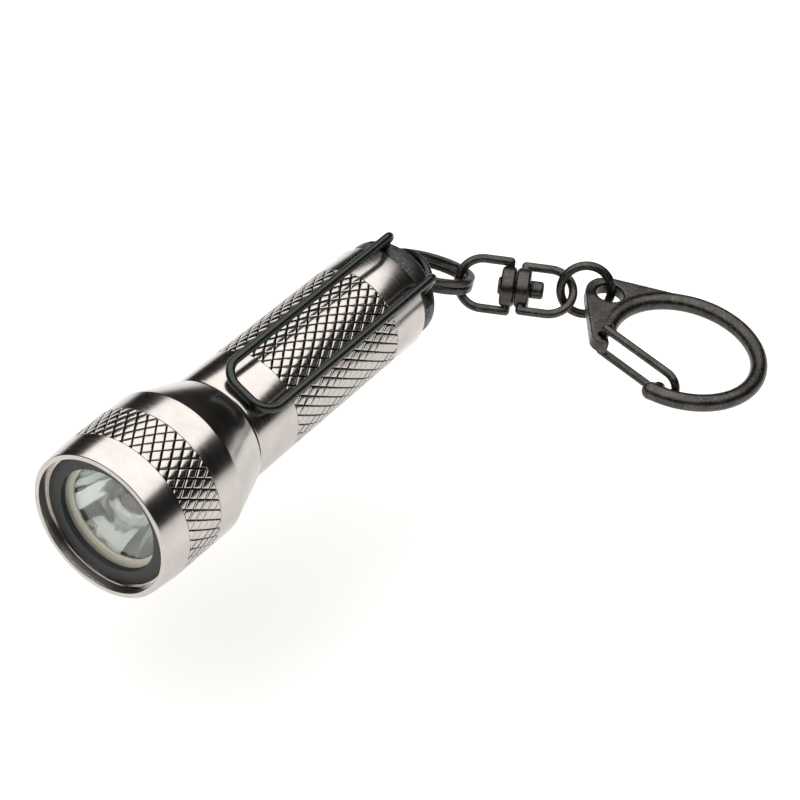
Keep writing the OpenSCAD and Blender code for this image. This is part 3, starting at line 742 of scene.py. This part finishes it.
STATIONS = 24
depth = BOWL_END - FLANGE_FRONT
bowl = [(BOWL_END - depth * n / STATIONS, bowl_radius(BOWL_END - depth * n / STATIONS))
        for n in range(STATIONS + 1)]
back = [(FLANGE_REAR + (BOSS_END - 0.8 - FLANGE_REAR) * n / STATIONS) for n in range(STATIONS + 1)]
back_side = [(y, max(BOSS_R, bowl_radius(min(y, BOWL_END)) + WALL)) for y in back]
flange = [(FLANGE_FRONT, 8.35), (FLANGE_FRONT + 0.1, 8.49), (FLANGE_REAR, 8.49)]
reflector = turned_piece("reflector_bowl", [(BOSS_END, LAMP_HOLE_R)] + bowl + flange + back_side
                         + [(BOSS_END, BOSS_R)])
wear(reflector, bright_bowl, "light_module", "reflector_bright", "reflector")

# %% [markdown]
# The lamp is a clear bullet of resin. In a real one a metal post ends in a small bright cup, which
# holds the chip under a drop of pale yellow phosphor. The cup and the drop are made here, because they
# show through the resin. The posts hide behind the cup and are left out.

# %% Lamp
lamp_low, lamp_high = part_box("led_lamp")
LAMP_TIP = lamp_low.y / MM
LAMP_R = 2.49
LAMP_FLANGE = LAMP_TIP + 7.2
LAMP_BACK = lamp_high.y / MM
dome = [(LAMP_TIP + LAMP_R * (1 - math.cos(math.radians(a))), LAMP_R * math.sin(math.radians(a)))
        for a in range(4, 91, 5)]
lamp = turned_piece("lamp_dome", dome + eased([
    (LAMP_TIP + LAMP_R + 0.2, LAMP_R, 0), (LAMP_FLANGE, LAMP_R, 0.08), (LAMP_FLANGE, 2.89, 0.08),
    (LAMP_BACK, 2.89, 0.08), (LAMP_BACK, 0.5, 0)])[1:], solid=True)
wear(lamp, clear_lamp, "light_module", "lamp_clear", "led_lamp")
cup = turned_piece("lamp_cup", eased([
    (LAMP_TIP + 3.75, 0.2, 0), (LAMP_TIP + 3.75, 0.45, 0.05), (LAMP_TIP + 3.1, 0.95, 0.04),
    (LAMP_TIP + 3.1, 1.15, 0.04), (LAMP_TIP + 4.6, 1.0, 0.1), (LAMP_TIP + 4.6, 0.2, 0)]), solid=True)
wear(cup, inside["spring"], "light_module", "spring_steel")
chip = turned_piece("lamp_chip", eased([
    (LAMP_TIP + 3.3, 0.1, 0), (LAMP_TIP + 3.42, 0.55, 0.15), (LAMP_TIP + 3.74, 0.42, 0.02),
    (LAMP_TIP + 3.74, 0.1, 0)]), solid=True)
phosphor = simple_finish("phosphor", (0.72, 0.68, 0.42), (0.66, 0.62, 0.38), 0.0, (0.4, 0.5),
                         (3000, 3000, 3000))
wear(chip, phosphor, "light_module", "lamp_clear")

# %% [markdown]
# ## Pieces finished from the mechanical model
#
# The chain's bent wires, its hubs and the cap already have their exact shape. A copy of each mesh is
# merged into one skin, its flat faces are joined, its sharp edges get a narrow bevel, and the rest is
# smoothed. A bevel of about a tenth of a millimetre is enough to draw a bright line along an edge.

# %% Tool for these pieces
FLAT_ANGLE = 0.6
SHARP_ANGLE = 38


def skin_of(node, name, merge=0.001):
    """A copy of a part's mesh as a new object, merged into one skin and in edit mode."""
    rest()
    piece = bpy.data.objects.new(name, nodes[node].data.copy())
    bpy.context.scene.collection.objects.link(piece)
    piece.data.name = name
    piece.select_set(True)
    bpy.context.view_layer.objects.active = piece
    bpy.ops.object.mode_set(mode="EDIT")
    bpy.ops.mesh.select_all(action="SELECT")
    bpy.ops.mesh.remove_doubles(threshold=merge * MM)
    return piece


def edged_copy(node, name, bevel, angle=35.0):
    """A finished copy of a part, with a bevel of the given width in millimetres on its sharp edges."""
    piece = skin_of(node, name)
    bpy.ops.mesh.dissolve_limited(angle_limit=math.radians(FLAT_ANGLE))
    pick(piece)
    if piece.data.has_custom_normals:
        bpy.ops.mesh.customdata_custom_splitnormals_clear()
    edges = piece.modifiers.new("edges", "BEVEL")
    edges.width = bevel * MM
    edges.segments = 2
    edges.limit_method = "ANGLE"
    edges.angle_limit = math.radians(SHARP_ANGLE)
    bpy.ops.object.modifier_apply(modifier=edges.name)
    bpy.ops.object.shade_smooth_by_angle(angle=math.radians(angle))
    print(name, "faces:", len(piece.data.polygons))
    return piece


# %% Cap, key loop and clip
cap = edged_copy("tail_cap", "tail_cap_black", 0.06)
wear(cap, black_cap, "barrel", "cap_black", "tail_cap")
loop = edged_copy("key_loop", "key_loop_wire", 0.05)
wear(loop, black_wire, "barrel", "clip_black", "key_loop")
clip = edged_copy("wire_clip", "pocket_clip_wire", 0.12)
wear(clip, black_wire, "clip", "clip_black", "wire_clip")

# %% Swivel, jump ring and gate
CHAIN = [("rear_bail", "swivel_rear", 0.08), ("rear_hub", "swivel_rear", 0.10),
         ("swivel_pin", "swivel_rear", 0.12), ("front_hub", "swivel_front", 0.10),
         ("front_bail", "swivel_front", 0.08), ("jump_ring", "jump_ring", 0.05),
         ("hook_gate", "gate", 0.10)]
for node, body, bevel in CHAIN:
    link = edged_copy(node, node + "_plated", bevel)
    wear(link, wire_nickel, body, "chain_metal", node)

# %% [markdown]
# ## The split ring
#
# A split ring is one flat wire wound twice. Its section is a small rounded square that is extruded
# step by step round the ring: one turn low, a short step up, one turn high, so that the two coils lie
# on each other. The ring's centre comes from the mechanical model.

# %% Split ring
COIL_R = 5.9
COIL = 0.96
COIL_RISE = 1.0
RING_TILT = (-18.7, 12.6, 25.6)
TURNS = 1.985
STEPS = 190
ring_low, ring_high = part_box("split_ring")
ring_centre = (ring_low + ring_high) / 2
ring_turn = Euler([math.radians(a) for a in RING_TILT], "XYZ").to_matrix()


def coil_place(step):
    """Where the section stands after a number of steps: the turn's angle and its height."""
    turn = TURNS * step / STEPS
    rise = min(1.0, max(0.0, (turn - 0.93) / 0.12))
    rise = rise * rise * (3 - 2 * rise)
    return 2 * math.pi * turn + math.radians(150), COIL_RISE * (rise - 0.5)


def place_section(section, step):
    """Stand the selected section at its step; section holds its (out, up) points."""
    angle, height = coil_place(step)
    mesh = bmesh.from_edit_mesh(bpy.context.object.data)
    chosen = [vert for vert in mesh.verts if vert.select]
    out = Vector((math.cos(angle), math.sin(angle), 0))
    for vert in chosen:
        across, up = section[vert[order]]
        place = out * (COIL_R * MM + across) + Vector((0, 0, height * MM + up))
        vert.co = ring_centre + ring_turn @ place
    bmesh.update_edit_mesh(bpy.context.object.data)


rest()
bpy.ops.mesh.primitive_plane_add(size=COIL * MM)
coil = mesh_object("split_ring_coils")
bpy.ops.object.mode_set(mode="EDIT")
bpy.ops.mesh.select_all(action="SELECT")
bpy.ops.mesh.bevel(offset=0.17 * MM, segments=3, affect="VERTICES")
mesh = bmesh.from_edit_mesh(coil.data)
order = mesh.verts.layers.int.new("order")
section = []
for vert in mesh.verts:
    vert[order] = len(section)
    section.append((vert.co.x, vert.co.y))
bmesh.update_edit_mesh(coil.data)
place_section(section, 0)
for step in range(1, STEPS + 1):
    bpy.ops.mesh.extrude_region()
    place_section(section, step)
end_piece(coil, 40.0)
coil.data.attributes.remove(coil.data.attributes["order"])
wear(coil, wire_nickel, "split_ring", "chain_metal", "split_ring")

# %% [markdown]
# ## The hook
#
# The hook is cast in one piece: a flat plate with an eye, and a thick round rod that leaves the plate
# and bends into the bow. On a casting every inner corner is filled and every edge is soft. A voxel
# remesh turns the copy into one even skin of small faces, and a few passes of smoothing round its
# edges. The hollow corners, where a point lies below the middle of its neighbours, are then smoothed
# much longer, which fills them as the mould does, while the rod keeps its thickness.

# %% Hook
VOXEL = 0.11
EDGE_PASSES = 24
HOLLOW = 0.003
CORNER_REACH = 5
CORNER_PASSES = 90
hook = skin_of("hook_body", "hook_casting")
pick(hook)
skin = hook.modifiers.new("skin", "REMESH")
skin.mode = "VOXEL"
skin.voxel_size = VOXEL * MM
bpy.ops.object.modifier_apply(modifier=skin.name)
soften = hook.modifiers.new("soften", "SMOOTH")
soften.factor = 0.5
soften.iterations = EDGE_PASSES
bpy.ops.object.modifier_apply(modifier=soften.name)
bpy.ops.object.mode_set(mode="EDIT")
bpy.ops.mesh.select_mode(type="VERT")
bpy.ops.mesh.select_all(action="DESELECT")
mesh = bmesh.from_edit_mesh(hook.data)
for vert in mesh.verts:
    around = [edge.other_vert(vert).co for edge in vert.link_edges]
    middle = sum(around, Vector()) / len(around)
    if (middle - vert.co).dot(vert.normal) > HOLLOW * MM:
        vert.select = True
mesh.select_flush(True)
bmesh.update_edit_mesh(hook.data)
print("points in hollow corners:", sum(vert.select for vert in mesh.verts))
for _ in range(CORNER_REACH):
    bpy.ops.mesh.select_more()
bpy.ops.mesh.vertices_smooth(factor=0.5, repeat=CORNER_PASSES)
pick(hook)
bpy.ops.object.shade_smooth()
print("hook faces:", len(hook.data.polygons))
wear(hook, cast_nickel, "hook", "chain_metal", "hook_body")

# %% [markdown]
# ## Inside the light
#
# The cells, spring, contacts, sleeve, holder, leads and rubber rings keep the mechanical model's
# meshes. They only need their finish.

# %% Finishes of the inner pieces
INNER = {
    "rubber": ("neck_o_ring", "tail_o_ring"),
    "cell": ("cell_1", "cell_2", "cell_3", "cell_4"),
    "sleeve": ("insulating_sleeve",),
    "spring": ("tail_spring", "led_leads"),
    "brass": ("front_contact", "ring_contact"),
    "holder": ("lamp_holder",),
}
for finish_name, members in INNER.items():
    for node in members:
        nodes[node].data.materials.clear()
        nodes[node].data.materials.append(inside[finish_name])
        print(node, "wears", finish_name)

# %% [markdown]
# ## Finish
#
# Edit mode is left and nothing stays selected. The visual model must be no bigger than the
# mechanical one.

# %% Finish
rest()
